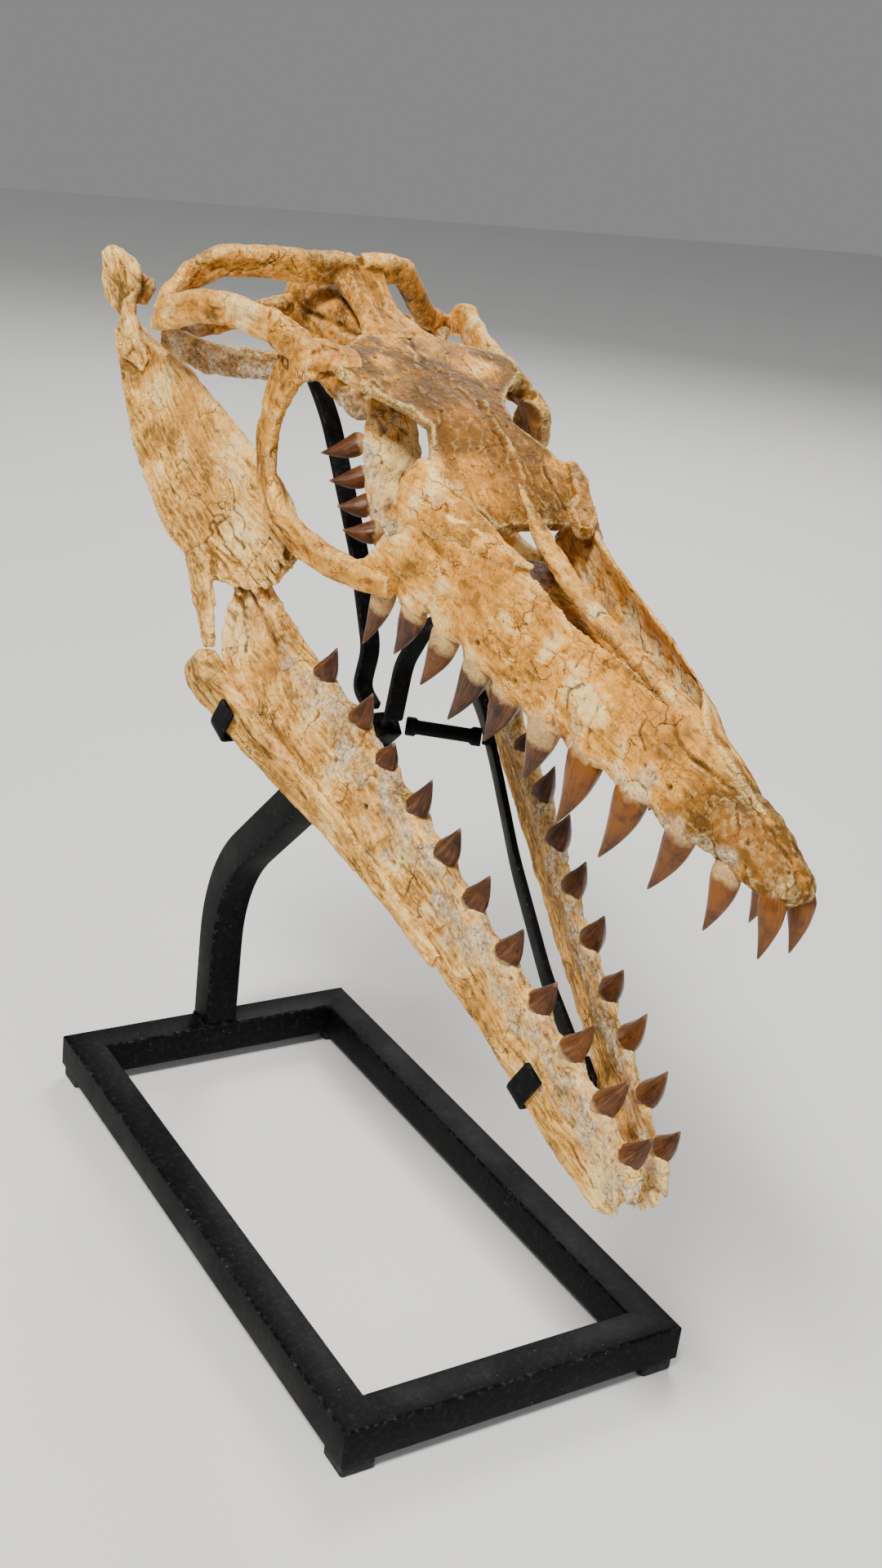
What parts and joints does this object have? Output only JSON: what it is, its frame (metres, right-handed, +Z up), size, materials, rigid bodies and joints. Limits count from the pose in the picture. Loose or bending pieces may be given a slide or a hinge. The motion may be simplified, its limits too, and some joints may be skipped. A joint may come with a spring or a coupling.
{
  "type": "mosasaur skull on museum stand",
  "caption": "Fossil mosasaur skull with open toothed jaws, held nose-down on a bent square-tube steel stand with a rectangular base.",
  "frame": {"origin": "middle of the mount's bounding box at floor level, under the jaws", "axes": "+Z up, the snout points along -Y, +X is the animal's left side"},
  "size_m": [0.2332, 0.5932, 0.6171],
  "materials": {
    "fossil_bone": "matte",
    "fossil_jaw_bone": "matte",
    "black_steel": "satin",
    "black_rubber": "matte"
  },
  "bodies": {
    "root": {"articular_left": "fossil_jaw_bone", "articular_right": "fossil_jaw_bone", "braincase": "fossil_bone", "dentary_left": "fossil_jaw_bone", "dentary_right": "fossil_jaw_bone", "frontal": "fossil_bone", "internarial_bar": "fossil_bone", "jugal_left": "fossil_bone", "jugal_right": "fossil_bone", "maxilla_left": "fossil_bone", "maxilla_right": "fossil_bone", "palatine_left": "fossil_bone", "palatine_right": "fossil_bone", "parietal": "fossil_bone", "postorbitofrontal_left": "fossil_bone", "postorbitofrontal_right": "fossil_bone", "prefrontal_left": "fossil_bone", "prefrontal_right": "fossil_bone", "premaxilla": "fossil_bone", "pterygoid_left": "fossil_bone", "pterygoid_right": "fossil_bone", "splenial_left": "fossil_jaw_bone", "splenial_right": "fossil_jaw_bone", "squamosal_left": "fossil_bone", "squamosal_right": "fossil_bone", "stand_arm_left": "black_steel", "stand_arm_right": "black_steel", "stand_bar_back": "black_steel", "stand_bar_front": "black_steel", "stand_bar_left": "black_steel", "stand_bar_right": "black_steel", "stand_clip_front_left": "black_steel", "stand_clip_front_right": "black_steel", "stand_clip_rear_left": "black_steel", "stand_clip_rear_right": "black_steel", "stand_foot_back_left": "black_rubber", "stand_foot_back_right": "black_rubber", "stand_foot_front_left": "black_rubber", "stand_foot_front_right": "black_rubber", "stand_hub": "black_steel", "stand_rod_left": "black_steel", "stand_rod_right": "black_steel", "stand_saddle": "black_steel", "stand_stem_front": "black_steel", "stand_stem_rear": "black_steel", "stand_upright": "black_steel", "surangular_left": "fossil_jaw_bone", "surangular_right": "fossil_jaw_bone"}
  },
  "joints": []
}
